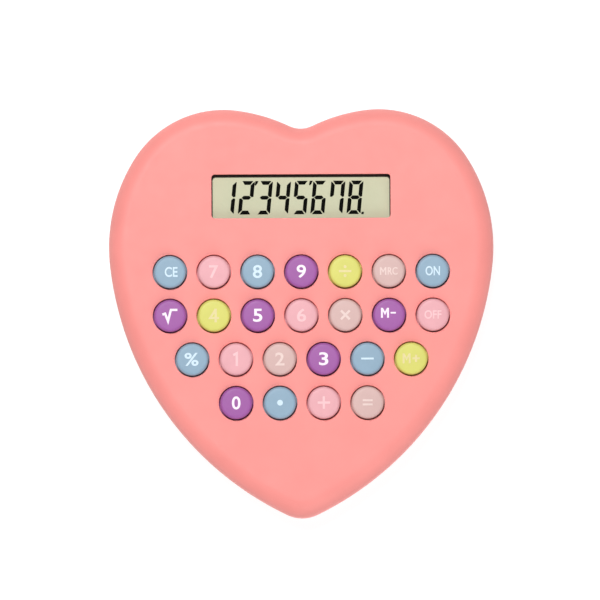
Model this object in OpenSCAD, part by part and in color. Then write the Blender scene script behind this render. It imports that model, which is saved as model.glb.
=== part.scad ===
// Heart-shaped desk calculator: an eight-digit display over twenty-four round keys.
// It lies flat on a desk. +X is to the right as it is read, +Y points away from the
// user, +Z is up, and the origin is under the middle of the heart, on the desk.

/* [Heart outline] */
// The outline is a chain of tangent arcs from the tip up the right side to the cleft,
// mirrored for the left side. Each arc has a radius and the angle that it turns through.
// Radius of the rounded tip
tip_r = 11; // [10.5:0.1:11.5]
// Half of the angle that the tip turns through
tip_turn = 25.7; // [25.5:0.1:26]
// Radius of the long lower side
side_r = 98; // [97:0.5:99]
// Angle of the long lower side
side_turn = 58.2; // [57.8:0.1:58.6]
// Radius of the flank, where the heart is widest
flank_r = 52; // [51.5:0.1:52.5]
// Angle of the flank
flank_turn = 38.5; // [38:0.1:39]
// Radius of the lobe
lobe_r = 32.8; // [32.5:0.1:33]
// Angle of the lobe
lobe_turn = 65; // [64.5:0.1:65.5]
// Radius of the crown, from the lobe to the cleft
crown_r = 54; // [53:0.1:55]
// Radius of the hollow of the cleft
cleft_r = 8.2; // [8:0.1:9]

/* [Case] */
// Height of the case, without its feet
case_h = 15; // [15:0.1:16]
// Height of the rear shell, up to the seam
rear_h = 7; // [6.5:0.1:7.5]
// Thickness of the side walls
wall = 2; // [1.8:0.1:2.2]
// Thickness of the face and of the back
plate = 2; // [1.9:0.1:2.1]
// Radius of the rounding round the face
face_round = 5.4; // [5:0.1:6]
// Radius of the rounding round the back
back_round = 3.2; // [3:0.1:3.5]
// Height that the feet stand out of the back
foot_out = 1; // [0.8:0.1:1.2]
// Radius of each foot
foot_r = 5; // [4:0.5:5]

/* [Keys] */
// Distance from one key to the next, along a row and from row to row
key_pitch = 13.65; // [13.6:0.05:13.8]
// Radius of a key
key_r = 5; // [4.8:0.1:5]
// Radius of the hole that a key stands in
key_hole_r = 5.4; // [5.3:0.05:5.5]
// Height that a key stands out of the face
key_out = 2.2; // [1.5:0.1:2.5]
// Radius of the rounding round the top of a key
key_round = 0.9; // [0.5:0.1:1]
// How far a key goes down
key_travel = 1.2; // [1:0.1:1.4]
// Middle of the upper row
top_row_y = 12.75; // [12.5:0.05:13]

/* [Display] */
// Width of the window
window_w = 55.8; // [54:0.2:56]
// Height of the window
window_h = 13.7; // [13:0.1:14]
// Radius of the window's corners
window_round = 1; // [0.5:0.1:1.5]
// Middle of the window
window_y = 36.4; // [36:0.1:37]

/* [Board and battery] */
// Thickness of the printed board
board_t = 1.2; // [1:0.1:1.6]
// Radius of the button cell
cell_r = 5.8; // [5.7:0.05:5.8]
// Thickness of the button cell
cell_t = 5.4; // [5.2:0.1:5.4]
// Distance of the battery well above the middle of the heart
well_y = 41; // [40.5:0.1:41.5]

/* [Hidden] */
$fn = 96;
slip = 0.05;              // gap between pieces that slide on each other
fit = 0.15;               // gap between pieces that drop into each other
bite = 1;                 // overlap that joins the features of one piece

CASE = "#f8a49c";
PINK = "#f4b3b6";
BLUE = "#9fbcd0";
PURPLE = "#b372b4";
YELLOW = "#e6e27e";
BEIGE = "#e3c3bd";

// ---- Heart outline
radii = [tip_r, side_r, flank_r, lobe_r, crown_r];
turns = [tip_turn, side_turn, flank_turn, lobe_turn];
TIP = 0;
LOBE = 3;
CROWN = 4;

function toward(a) = [cos(a), sin(a)];
// Direction from an arc's centre to its first point
function arc_start(i) = i == 0 ? -90 : arc_start(i - 1) + turns[i - 1];
// Centre of an arc, counted from the bottom of the tip: neighbours share a normal
function raw_centre(i) = i == 0 ? [0, tip_r]
    : raw_centre(i - 1) + (radii[i - 1] - radii[i]) * toward(arc_start(i));

heart_h = raw_centre(LOBE).y + lobe_r;
centres = [for (i = [0:CROWN]) raw_centre(i) - [0, heart_h / 2]];
crown = centres[CROWN];
cleft_y = crown.y + sqrt(pow(crown_r + cleft_r, 2) - pow(crown.x, 2));
crown_end = atan2(cleft_y - crown.y, -crown.x);
sweeps = [for (i = [0:CROWN]) i == CROWN ? crown_end - arc_start(CROWN) : turns[i]];

// ---- Heights
back_z = foot_out;
seam_z = back_z + rear_h;
face_z = back_z + case_h;
under_face_z = face_z - plate;
floor_z = back_z + plate;
key_top_z = face_z + key_out;
flange_t = 0.9;
flange_top_z = under_face_z - slip;
key_foot_z = flange_top_z - flange_t;
board_z = 8.6;            // top of the printed board
mat_t = 1;                // thickness of the rubber sheet

// ---- Keys: name, row, place along the row in pitches from the middle, colour
KEYS = [
    ["key_ce", 0, -3, BLUE], ["key_7", 0, -2, PINK], ["key_8", 0, -1, BLUE],
    ["key_9", 0, 0, PURPLE], ["key_divide", 0, 1, YELLOW], ["key_mrc", 0, 2, BEIGE],
    ["key_on", 0, 3, BLUE],
    ["key_sqrt", 1, -3, PURPLE], ["key_4", 1, -2, YELLOW], ["key_5", 1, -1, PURPLE],
    ["key_6", 1, 0, PINK], ["key_multiply", 1, 1, BEIGE], ["key_m_minus", 1, 2, PURPLE],
    ["key_off", 1, 3, PINK],
    ["key_percent", 2, -2.5, BLUE], ["key_1", 2, -1.5, PINK], ["key_2", 2, -0.5, BEIGE],
    ["key_3", 2, 0.5, PURPLE], ["key_minus", 2, 1.5, BLUE], ["key_m_plus", 2, 2.5, YELLOW],
    ["key_0", 3, -1.5, PURPLE], ["key_point", 3, -0.5, BLUE], ["key_plus", 3, 0.5, PINK],
    ["key_equals", 3, 1.5, BEIGE]
];
function key_place(k) = [k[2] * key_pitch, top_row_y - k[1] * key_pitch];
flange_r = 6.2;
collar_r = 6.35;          // inside of the collar that guides a flange
collar_out_r = 7;
collar_h = 2.2;
lug_w = 1.2;              // rib in the collar that stops the key from turning
lug_in = 5.2;             // distance of the rib's inner end from the key's axis

// ---- Display
lens = [60, 18, 1];
lcd_glass = [62, 20, 0.9];
lcd_ledge = 3;            // strip of the front glass that carries the contacts
lcd_film = 0.2;
lcd_top_z = under_face_z - 0.3;
lcd_y = window_y - 1;
frame_size = [66.5, 24];
gasket = [59, 16];
gasket_side = 0.3;        // strip of the gasket that shows at each side of the window
gasket_top = 0.8;         // and the wider strip that shows along its top
gasket_below = 0.3;       // the opening reaches this far past the bottom of the window
gasket_h = window_h - gasket_top + gasket_below;
film_size = [lcd_glass.x - 1, lcd_glass.y - lcd_ledge - 0.5];
frame_plate = 1;          // thickness of the tray under the display
frame_opening = [54, 12];
frame_leg = 3;            // width of the tray's two legs
zebra = [56, 2.2];
zebra_y = lcd_y - lcd_glass.y / 2 + lcd_ledge / 2;

// ---- Screws and feet
CASE_SCREWS = [[0, -50], [44.6, -12.8], [-44.6, -12.8], [38, 48], [-38, 48]];
upper_gap_y = top_row_y - key_pitch / 2;
BOARD_SCREWS = [for (s = [-1, 1]) each [
    [42.5 * s, 25], [2.5 * key_pitch * s, upper_gap_y], [0.5 * key_pitch * s, upper_gap_y],
    [key_pitch * s, top_row_y - 2.5 * key_pitch]]];
FEET = [[43, 26], [-43, 26], [15, -43], [-15, -43]];
pocket_h = 0.5;
tread_h = 0.3;            // step near the bottom of a foot, where it turns narrower
tread_in = 0.4;
front_boss_r = 2.8;
rear_boss_r = 3.5;
seat_z = 4.4;             // where the head of a case screw bears
shank_r = 1.1;
shank_hole_r = 1.3;
head_r = 2.1;
head_hole_r = 2.5;
head_h = 1.4;
recess = [2.4, 0.6, 0.8]; // one arm of the cross in a screw's head
board_boss_r = 2.2;
board_shank_r = 0.85;
board_hole_r = 1.05;
board_head_r = 1.6;
board_head_h = 1;
pilot_end_z = under_face_z - 1;

// ---- Battery well and its turning cover
well_wall = 1.2;
well_r = 6.2;
well_top_z = 9.2;
cover_r = 9;
cover_t = 1.3;
hub_r = 7.6;
ledge_top_z = 3.5;
lug_r = 9.2;
lug_h = 0.8;
cover_turn = 45;          // turn from locked to free
lug_angle = 30;
lug_play = 6;             // how much wider the gaps in the ledge are, in degrees
coin_slot = [12, 1.6, 0.8];
contact_slot_w = 4.4;     // gap in the well's wall for the contact at the cell's side
cell_z = back_z + cover_t + slip;
turret_r = 11;
turret_z = 5.4;

// ---- Helpers

// The heart as a flat shape, drawn in by inset: pie slices over a polygon of their ends.
module heart(inset = 0) {
    ends = [for (i = [1:CROWN]) centres[i] + (radii[i] - inset) * toward(arc_start(i))];
    last = crown + (crown_r - inset) * toward(crown_end);
    right = concat(ends, [last]);
    left = [for (i = [len(right) - 1:-1:0]) [-right[i].x, right[i].y]];
    difference() {
        union() {
            polygon(concat(right, left));
            for (i = [TIP:CROWN], side = [0, 1])
                if (i > TIP || side == 0)
                    mirror([side, 0])
                        pie_slice(centres[i], radii[i] - inset,
                            i == TIP ? arc_start(1) - 2 * sweeps[TIP] : arc_start(i),
                            i == TIP ? 2 * sweeps[TIP] : sweeps[i]);
        }
        translate([0, cleft_y]) circle(r = cleft_r + inset, $fn = 180);
    }
}

// A slice of a disc from one direction, through a sweep of less than 90 degrees.
module pie_slice(middle, r, from, sweep) {
    reach = 1.1 * r / cos(sweep / 2);
    translate(middle)
        intersection() {
            circle(r = r, $fn = 360);
            polygon([[0, 0], reach * toward(from), reach * toward(from + sweep)]);
        }
}

// Places round the heart, from the tip counter-clockwise: centre, direction, radius, and
// -1 where the outline is hollow.
RIGHT_STEPS = [4, 10, 7, 12, 3];
CLEFT_STEPS = 8;
right_places = [for (i = [0:CROWN], k = [0:RIGHT_STEPS[i] - 1])
    [centres[i], toward(arc_start(i) + sweeps[i] * k / RIGHT_STEPS[i]), radii[i], 1]];
cleft_places = [for (k = [0:CLEFT_STEPS])
    [[0, cleft_y], toward(crown_end + 180 - 2 * (crown_end - 90) * k / CLEFT_STEPS), cleft_r, -1]];
left_places = [for (i = [len(right_places) - 1:-1:1])
    let (p = right_places[i]) [[-p[0].x, p[0].y], [-p[1].x, p[1].y], p[2], p[3]]];
PLACES = concat(right_places, cleft_places, left_places);

function outline_point(p, inset) = p[0] + (p[2] - p[3] * inset) * p[1];

// A ring whose section, a list of [inset, height] going round clockwise, is carried
// round the heart.
module rim(section) {
    n = len(PLACES);
    m = len(section);
    points = [for (p = PLACES, q = section)
        let (at = outline_point(p, q[0])) [at.x, at.y, q[1]]];
    faces = [for (i = [0:n - 1], k = [0:m - 1])
        let (j = (i + 1) % n, l = (k + 1) % m) [i * m + k, i * m + l, j * m + l, j * m + k]];
    polyhedron(points, faces);
}

// A quarter of a circle in a section, about a point, from one direction to another
function quarter(inset, z, r, from, to, steps) =
    [for (k = [0:steps])
        let (a = from + (to - from) * k / steps) [inset - r * cos(a), z + r * sin(a)]];

module slab(z0, z1) {
    translate([0, 0, z0]) linear_extrude(z1 - z0) children();
}

module disc(at, r, z0, z1) {
    translate([at.x, at.y, z0]) cylinder(r = r, h = z1 - z0);
}

module at_keys() {
    for (k = KEYS)
        translate(key_place(k)) children();
}

module rounded_rect(w, h, r) {
    square([w - 2 * r, h], center = true);
    square([w, h - 2 * r], center = true);
    for (x = [-1, 1], y = [-1, 1])
        translate([x * (w / 2 - r), y * (h / 2 - r)]) circle(r = r, $fn = 48);
}

module at_window() {
    translate([0, window_y]) children();
}

// ---- Case
joint_h = 1.4;            // height of the tongue that keeps the two shells in line
joint_t = 0.8;
seam_cut = 0.25;          // bevel on each shell's edge at the seam

module front_shell() color(CASE) {
    difference() {
        union() {
            rim(concat([[seam_cut, seam_z], [0, seam_z + seam_cut]],
                quarter(face_round, face_z - face_round, face_round, 0, 90, 6),
                [[face_round + bite, face_z], [face_round + bite, under_face_z]],
                quarter(face_round, face_z - face_round, face_round - wall, 90, 0, 4),
                [[wall, seam_z]]));
            slab(under_face_z, face_z)
                difference() {
                    heart(face_round + bite / 2);
                    at_keys() circle(r = key_hole_r);
                    at_window() rounded_rect(window_w, window_h, window_round);
                }
            slab(under_face_z - collar_h, under_face_z + bite / 2) key_collars();
            for (p = CASE_SCREWS)
                disc(p, front_boss_r, seam_z, under_face_z + bite / 2);
            for (p = BOARD_SCREWS)
                disc(p, board_boss_r, board_z, under_face_z + bite / 2);
        }
        // The window's rebate for the lens, and the screws' pilot holes
        slab(under_face_z - bite, under_face_z + lens.z)
            at_window() square([lens.x + 2 * fit, lens.y + 2 * fit], center = true);
        for (p = CASE_SCREWS)
            disc(p, shank_r + slip, seam_z - bite, pilot_end_z);
        for (p = BOARD_SCREWS)
            disc(p, board_shank_r + slip, board_z - bite, pilot_end_z);
    }
}

// The rings under the face that guide the keys, each with a rib that stops turning.
module key_collars() {
    root = collar_r + fit;
    tip = lug_in + fit;
    difference() {
        at_keys() circle(r = collar_out_r);
        at_keys() circle(r = collar_r);
    }
    at_keys()
        translate([-lug_w / 2, -root]) square([lug_w, root - tip]);
}

module rear_shell() color(CASE) {
    difference() {
        union() {
            rim(concat([[back_round + bite, floor_z], [back_round + bite, back_z]],
                quarter(back_round, back_z + back_round, back_round, -90, 0, 4),
                [[0, seam_z - seam_cut], [seam_cut, seam_z],
                    [wall + fit, seam_z], [wall + fit, seam_z + joint_h],
                    [wall + fit + joint_t, seam_z + joint_h], [wall + fit + joint_t, seam_z - 1],
                    [wall, seam_z - 2]],
                quarter(back_round, back_z + back_round, back_round - wall, 0, -90, 2)));
            slab(back_z, floor_z) heart(back_round + bite / 2);
            for (p = CASE_SCREWS)
                disc(p, rear_boss_r, floor_z - bite, seam_z - slip);
            disc([0, well_y], turret_r, floor_z - bite, turret_z);
            disc([0, well_y], well_r + well_wall, floor_z, well_top_z);
        }
        for (p = CASE_SCREWS) {
            disc(p, shank_hole_r, back_z - bite, seam_z + bite);
            disc(p, head_hole_r, back_z - bite, seat_z);
        }
        for (p = FEET)
            disc(p, foot_r + slip, back_z - bite, back_z + pocket_h);
        translate([0, well_y, 0]) {
            disc([0, 0], cover_r + fit, back_z - bite, back_z + cover_t + slip);
            disc([0, 0], hub_r + fit, back_z - bite, ledge_top_z + bite / 2);
            disc([0, 0], lug_r + fit, ledge_top_z, ledge_top_z + lug_h + 2 * slip);
            disc([0, 0], well_r, back_z, well_top_z + bite);
            // Gaps in the ledge that let the cover's lugs through
            slab(back_z, ledge_top_z + bite / 2)
                cover_lugs(lug_r + fit, lug_angle + lug_play, cover_turn);
            translate([-contact_slot_w / 2, well_r - bite, turret_z])
                cube([contact_slot_w, well_wall + 2 * bite, well_top_z]);
        }
    }
}

// Three pie slices that stand round the cover's hub.
module cover_lugs(r, angle, turned) {
    for (i = [0:2])
        rotate(i * 120 + turned - angle / 2)
            intersection() {
                circle(r = r);
                polygon([[0, 0], 1.2 * r * toward(0), 1.2 * r * toward(angle)]);
            }
}

module rubber_feet() color("#6d6a6a")
    for (p = FEET)
        translate(p) {
            disc([0, 0], foot_r, tread_h, back_z + pocket_h);
            disc([0, 0], foot_r - tread_in, 0, back_z);
        }

module case_screws() color("silver")
    for (p = CASE_SCREWS) {
        disc(p, shank_r, seat_z - fit, pilot_end_z - bite);
        difference() {
            disc(p, head_r, seat_z - head_h, seat_z);
            translate([p.x, p.y, seat_z - head_h - bite])
                for (a = [0, 90])
                    rotate(a)
                        translate([-recess.x / 2, -recess.y / 2, 0])
                            cube([recess.x, recess.y, recess.z + bite]);
        }
    }

// ---- Display
module display_lens() color([0.85, 0.9, 0.88, 0.4])
    slab(under_face_z, under_face_z + lens.z)
        at_window() square([lens.x, lens.y], center = true);

// A dark foam ring between the lens and the display, which hides the display's edge
module window_gasket() color("#2c2421")
    slab(lcd_top_z, under_face_z)
        at_window()
            difference() {
                square(gasket, center = true);
                translate([0, (window_h - gasket_h) / 2 - gasket_top])
                    rounded_rect(window_w - 2 * gasket_side, gasket_h, window_round);
            }

module lcd_front_polariser() color("#d6d6b6")
    slab(lcd_top_z - lcd_film, lcd_top_z)
        translate([0, lcd_y + lcd_ledge / 2])
            square(film_size, center = true);

module lcd_front_glass() color("#c8d2c6")
    slab(lcd_top_z - lcd_film - lcd_glass.z, lcd_top_z - lcd_film)
        translate([0, lcd_y]) square([lcd_glass.x, lcd_glass.y], center = true);

module lcd_rear_glass() color("#bcc8bc")
    slab(lcd_top_z - lcd_film - 2 * lcd_glass.z, lcd_top_z - lcd_film - lcd_glass.z)
        translate([0, lcd_y + lcd_ledge / 2])
            square([lcd_glass.x, lcd_glass.y - lcd_ledge], center = true);

module lcd_rear_polariser() color("#9a9c8c")
    slab(lcd_top_z - 2 * (lcd_film + lcd_glass.z), lcd_top_z - lcd_film - 2 * lcd_glass.z)
        translate([0, lcd_y + lcd_ledge / 2])
            square(film_size, center = true);

// A tray that holds the display against the face and guides the strip down to the board
module lcd_frame() color("white") {
    lcd_low_z = lcd_top_z - 2 * (lcd_film + lcd_glass.z);
    difference() {
        slab(lcd_low_z - frame_plate, under_face_z - slip)
            translate([0, lcd_y]) square(frame_size, center = true);
        slab(lcd_low_z, under_face_z)
            translate([0, lcd_y])
                square([lcd_glass.x + fit, lcd_glass.y + fit], center = true);
        slab(lcd_low_z - frame_plate - bite, under_face_z) {
            translate([0, lcd_y + lcd_ledge / 2]) square(frame_opening, center = true);
            translate([0, zebra_y]) square([zebra.x + fit, zebra.y + fit], center = true);
        }
    }
    slab(board_z, lcd_low_z - frame_plate / 2)
        for (s = [-1, 1])
            translate([s * (frame_size.x - frame_leg - bite) / 2, zebra_y])
                square(frame_leg, center = true);
}

// A comb of conducting and insulating rubber between the board and the display's ledge
module zebra_strip() color("#4a4a4c")
    slab(board_z, lcd_top_z - lcd_film - lcd_glass.z)
        translate([0, zebra_y]) square(zebra, center = true);

// ---- Board
board_inset = 7.4;
mat_inset = 7.8;
board_top_y = 30;
board_low_y = -38;
boss_gap = 0.8;           // room round the bosses of the case screws

// The heart drawn in by inset, cut off level above and below, with notches for the bosses
module board_outline(inset, top_y) {
    difference() {
        intersection() {
            heart(inset);
            translate([-60, board_low_y]) square([120, top_y - board_low_y]);
        }
        for (p = CASE_SCREWS)
            translate(p) circle(r = rear_boss_r + boss_gap);
    }
}

module main_board() color("#3f7d4c")
    slab(board_z - board_t, board_z)
        difference() {
            board_outline(board_inset, board_top_y);
            for (p = BOARD_SCREWS)
                translate(p) circle(r = board_hole_r);
        }

board_low_z = board_z - board_t;
chip_at = [0, 14];
chip_r = 8.5;             // radius of the drop of resin over the chip
chip_rise = 7;            // height of its centre over the board's lower side
CAPACITORS = [[-20, 16], [22, 16]];
capacitor_size = [4, 2.4];
capacitor_h = 2;
resistor_at = [-4, 4];
resistor_r = 1;
resistor_l = 6.5;

module chip_blob() color("#1c1c1e")
    translate([chip_at.x, chip_at.y, board_low_z])
        intersection() {
            translate([0, 0, chip_rise]) sphere(r = chip_r);
            disc([0, 0], chip_r, chip_rise - chip_r, 0);
        }

module capacitors() color("#c58a3c")
    slab(board_low_z - capacitor_h, board_low_z)
        for (p = CAPACITORS)
            translate(p) square(capacitor_size, center = true);

module resistor() color("#b9a27c")
    translate([resistor_at.x, resistor_at.y, board_low_z - resistor_r])
        rotate([0, 90, 0]) cylinder(r = resistor_r, h = resistor_l);

module board_screws() color("silver")
    for (p = BOARD_SCREWS) {
        disc(p, board_shank_r, board_low_z - board_head_h / 2, pilot_end_z - bite / 2);
        disc(p, board_head_r, board_low_z - board_head_h, board_low_z);
    }

// A rubber sheet with a spring dome under each key
dome_r = 4.6;
dome_top_r = 3;
dome_wall = 0.6;
dome_crown = 1.6;         // thickness of the button at the top of a dome
dome_brim = 1;            // height of the button's straight side
mat_top_y = 21.5;
mat_gap = 0.3;            // room round the bosses of the board's screws

module rubber_mat() color("#d9d6d2") {
    difference() {
        slab(board_z, board_z + mat_t)
            board_outline(mat_inset, mat_top_y);
        for (p = BOARD_SCREWS)
            disc(p, board_boss_r + mat_gap, board_z - bite, board_z + mat_t + bite);
        at_keys() disc([0, 0], dome_r - dome_wall - fit, board_z - bite, board_z + mat_t + bite);
    }
    dome_h = key_foot_z - slip - board_z - mat_t;
    at_keys()
        translate([0, 0, board_z + mat_t])
            rotate_extrude()
                polygon([[dome_r - 2 * dome_wall, -mat_t], [dome_r, -mat_t], [dome_r, 0],
                    [dome_top_r, dome_h - dome_brim], [dome_top_r, dome_h], [0, dome_h],
                    [0, dome_h - dome_crown], [dome_top_r - dome_wall, dome_h - dome_crown]]);
}

// ---- Battery
cell_lip = 0.3;           // step at each end of the cell
cell_base_r = 5.3;
cell_cap_r = 4.6;

module battery_cell() color("silver")
    translate([0, well_y, cell_z]) {
        disc([0, 0], cell_base_r, 0, cell_t / 2);
        disc([0, 0], cell_r, cell_lip, cell_t - cell_lip);
        disc([0, 0], cell_cap_r, cell_t / 2, cell_t);
    }

// A disc with a coin slot, a hub round the cell, and three lugs that lock behind the ledge
module battery_cover() color(CASE)
    translate([0, well_y, 0])
        difference() {
            union() {
                disc([0, 0], cover_r, back_z, back_z + cover_t);
                disc([0, 0], hub_r, back_z, ledge_top_z + slip + lug_h);
                slab(ledge_top_z + slip, ledge_top_z + slip + lug_h)
                    cover_lugs(lug_r, lug_angle, 0);
            }
            disc([0, 0], cell_r + fit, cell_z - slip, ledge_top_z + 2 * bite);
            slab(back_z - bite, back_z + coin_slot.z)
                square([coin_slot.x, coin_slot.y], center = true);
        }

tab_t = 0.3;              // thickness of the contact strips
tab_l = 3;                // length of the flat end that a lead is soldered to
side_tab_w = 4;
side_tab_z = well_top_z - 0.5;
leaf = [6, 3];            // spring leaf over the cell
leaf_x = -4.6;
leaf_tab_l = 3.9;

// The strip at the side of the cell, bent outwards over the wall of the well
module contact_positive() color("gold")
    translate([-side_tab_w / 2, well_y + cell_r + slip, 0]) {
        translate([0, 0, turret_z + slip])
            cube([side_tab_w, tab_t, side_tab_z - turret_z]);
        translate([0, 0, side_tab_z])
            cube([side_tab_w, tab_l, tab_t]);
    }

// The leaf over the cell, bent up and outwards over the wall of the well
module contact_negative() color("gold") {
    leaf_z = cell_z + cell_t;
    translate([leaf_x, well_y - leaf.y / 2, 0]) {
        translate([0, 0, leaf_z])
            cube([leaf.x, leaf.y, tab_t]);
        translate([0, 0, leaf_z])
            cube([tab_t, leaf.y, well_top_z + tab_t - leaf_z]);
        translate([-leaf_tab_l, 0, well_top_z])
            cube([leaf_tab_l + tab_t, leaf.y, tab_t]);
    }
}

lead_r = 0.45;
lead_gap = 0.02;
LEAD_SIDES = 10;
lead_z = well_top_z + tab_t + lead_r + lead_gap;
lead_end = [8, board_top_y - 0.8, board_z + lead_r + lead_gap];
LEAD_PLUS = [[1, well_y + 8.3, side_tab_z + tab_t + lead_r + lead_gap], [10, well_y + 6, lead_z],
    [11.5, well_y - 5, lead_z], lead_end];
LEAD_MINUS = [[-8, well_y, lead_z], [-10, well_y - 5, lead_z],
    [-lead_end.x, lead_end.y, lead_end.z]];

// A wire swept along a list of points: a ring of points at each, square to the wire
function unit(v) = v / norm(v);
function ring(at, along) =
    let (u = unit(cross([0, 0, 1], along)), v = cross(along, u))
    [for (k = [0:LEAD_SIDES - 1])
        let (a = 360 * k / LEAD_SIDES) at + lead_r * (cos(a) * u + sin(a) * v)];

module wire(points) {
    last = len(points) - 1;
    runs = [for (i = [1:last]) unit(points[i] - points[i - 1])];
    rings = [for (i = [0:last]) each ring(points[i],
        unit(runs[max(i - 1, 0)] + runs[min(i, last - 1)]))];
    n = LEAD_SIDES;
    sides = [for (i = [0:last - 1], k = [0:n - 1])
        let (l = (k + 1) % n) [n * i + k, n * (i + 1) + k, n * (i + 1) + l, n * i + l]];
    ends = [[for (k = [0:n - 1]) k], [for (k = [n - 1:-1:0]) n * last + k]];
    polyhedron(rings, concat(sides, ends));
}

module lead_positive() color("red") wire(LEAD_PLUS);

module lead_negative() color("#202020") wire(LEAD_MINUS);

// ---- Keys: a rounded cap over a flange that stops under the face
module key(name) {
    k = KEYS[search([name], KEYS)[0]];
    translate(key_place(k)) color(k[3])
        difference() {
            union() {
                disc([0, 0], key_r, key_foot_z, key_top_z - key_round);
                disc([0, 0], key_r - key_round, key_foot_z, key_top_z);
                translate([0, 0, key_top_z - key_round])
                    rotate_extrude()
                        intersection() {
                            translate([key_r - key_round, 0]) circle(r = key_round);
                            square(key_r);
                        }
                disc([0, 0], flange_r, key_foot_z, flange_top_z);
            }
            translate([-lug_w / 2 - fit, -flange_r - bite, key_foot_z - bite])
                cube([lug_w + 2 * fit, flange_r + bite - lug_in, flange_t + bite + slip]);
        }
}

module key_ce() key("key_ce");
module key_7() key("key_7");
module key_8() key("key_8");
module key_9() key("key_9");
module key_divide() key("key_divide");
module key_mrc() key("key_mrc");
module key_on() key("key_on");
module key_sqrt() key("key_sqrt");
module key_4() key("key_4");
module key_5() key("key_5");
module key_6() key("key_6");
module key_multiply() key("key_multiply");
module key_m_minus() key("key_m_minus");
module key_off() key("key_off");
module key_percent() key("key_percent");
module key_1() key("key_1");
module key_2() key("key_2");
module key_3() key("key_3");
module key_minus() key("key_minus");
module key_m_plus() key("key_m_plus");
module key_0() key("key_0");
module key_point() key("key_point");
module key_plus() key("key_plus");
module key_equals() key("key_equals");

front_shell();
rear_shell();
display_lens();
window_gasket();
lcd_front_polariser();
lcd_front_glass();
lcd_rear_glass();
lcd_rear_polariser();
lcd_frame();
zebra_strip();
main_board();
chip_blob();
capacitors();
resistor();
rubber_mat();
board_screws();
case_screws();
rubber_feet();
battery_cell();
battery_cover();
contact_positive();
contact_negative();
lead_positive();
lead_negative();
key_ce();
key_7();
key_8();
key_9();
key_divide();
key_mrc();
key_on();
key_sqrt();
key_4();
key_5();
key_6();
key_multiply();
key_m_minus();
key_off();
key_percent();
key_1();
key_2();
key_3();
key_minus();
key_m_plus();
key_0();
key_point();
key_plus();
key_equals();
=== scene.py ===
# %% [markdown]
# # A heart-shaped desk calculator
# The real object is two pink moulded shells screwed together, with twenty-four round keys standing
# in holes, a segment display behind a clear window, and a board, a rubber mat and a button cell
# inside. The working model already holds every size and joint. Here each visible piece gets its
# final surface and finish. The frame is loaded first, because every place below is read from it.

# %% Load the frame
import math

import bmesh
import bpy
import numpy as np
from mathutils.geometry import delaunay_2d_cdt
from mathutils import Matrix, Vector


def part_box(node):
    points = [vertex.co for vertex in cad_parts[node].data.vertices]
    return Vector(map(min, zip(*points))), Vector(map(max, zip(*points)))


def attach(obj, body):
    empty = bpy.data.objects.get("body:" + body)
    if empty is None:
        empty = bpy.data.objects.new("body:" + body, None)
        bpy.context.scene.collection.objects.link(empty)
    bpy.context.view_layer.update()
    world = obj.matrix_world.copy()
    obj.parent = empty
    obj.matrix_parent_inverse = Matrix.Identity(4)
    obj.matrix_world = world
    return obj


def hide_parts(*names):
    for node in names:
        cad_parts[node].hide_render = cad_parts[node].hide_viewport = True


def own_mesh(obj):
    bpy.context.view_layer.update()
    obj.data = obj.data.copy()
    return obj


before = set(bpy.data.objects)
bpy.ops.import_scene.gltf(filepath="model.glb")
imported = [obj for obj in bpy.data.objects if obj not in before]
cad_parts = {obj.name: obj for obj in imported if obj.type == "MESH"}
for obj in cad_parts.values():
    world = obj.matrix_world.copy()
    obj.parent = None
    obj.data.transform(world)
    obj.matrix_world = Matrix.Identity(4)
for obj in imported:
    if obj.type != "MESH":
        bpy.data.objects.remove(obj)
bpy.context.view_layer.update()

MM = 0.001


def low(node):
    """The lowest corner of a node's box, in metres."""
    return np.array(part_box(node)[0])


def high(node):
    """The highest corner of a node's box, in metres."""
    return np.array(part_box(node)[1])


# %% [markdown]
# ## Surfaces from arrays
# A shape on this object is nearly always a profile carried along a path: round the heart, or round
# a vertical axis. Modelling it by hand would mean pushing single points. Worked out as arrays, the
# whole grid is one formula, it can be checked, and a change of one radius changes every point.
# These helpers turn a grid of points into quads, join several surfaces, weld the seams between
# them and make the one closed mesh that a real moulding is.

# %% Grid, weld and mesh helpers
def grid_faces(rows, columns, closed):
    """Quads between neighbours of a rows x columns grid; closed joins the last row to the first."""
    last = rows if closed else rows - 1
    i, k = np.meshgrid(np.arange(last), np.arange(columns - 1), indexing="ij")
    j = (i + 1) % rows
    here, there = i * columns + k, j * columns + k
    quads = np.stack([here, there, there + 1, here + 1], -1)
    return quads.reshape(-1, 4).tolist()


def arc(middle, radius, start, end, steps):
    """Points middle + radius * (cos a, sin a), for a from start to end in degrees."""
    a = np.radians(np.linspace(start, end, steps + 1))
    return np.stack([middle[0] + radius * np.cos(a), middle[1] + radius * np.sin(a)], -1)


def revolved(place, profile, count=64):
    """A profile of (radius, height) turned about a vertical axis: x = r cos a, y = r sin a."""
    profile = np.asarray(profile, float)
    a = np.linspace(0, 2 * np.pi, count, endpoint=False)[:, None]
    x = place[0] + profile[:, 0] * np.cos(a)
    y = place[1] + profile[:, 0] * np.sin(a)
    z = np.broadcast_to(profile[:, 1], x.shape)
    return np.stack([x, y, z], -1).reshape(-1, 3), grid_faces(count, len(profile), True)


def prism(outline, bottom, top):
    """A flat outline raised from one height to another, with both ends closed."""
    n = len(outline)
    points = np.concatenate([np.column_stack([outline, np.full(n, z)]) for z in (bottom, top)])
    i = np.arange(n)
    j = (i + 1) % n
    sides = np.stack([i, j, j + n, i + n], -1).tolist()
    return points, sides + [i[::-1].tolist(), (i + n).tolist()]


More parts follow.
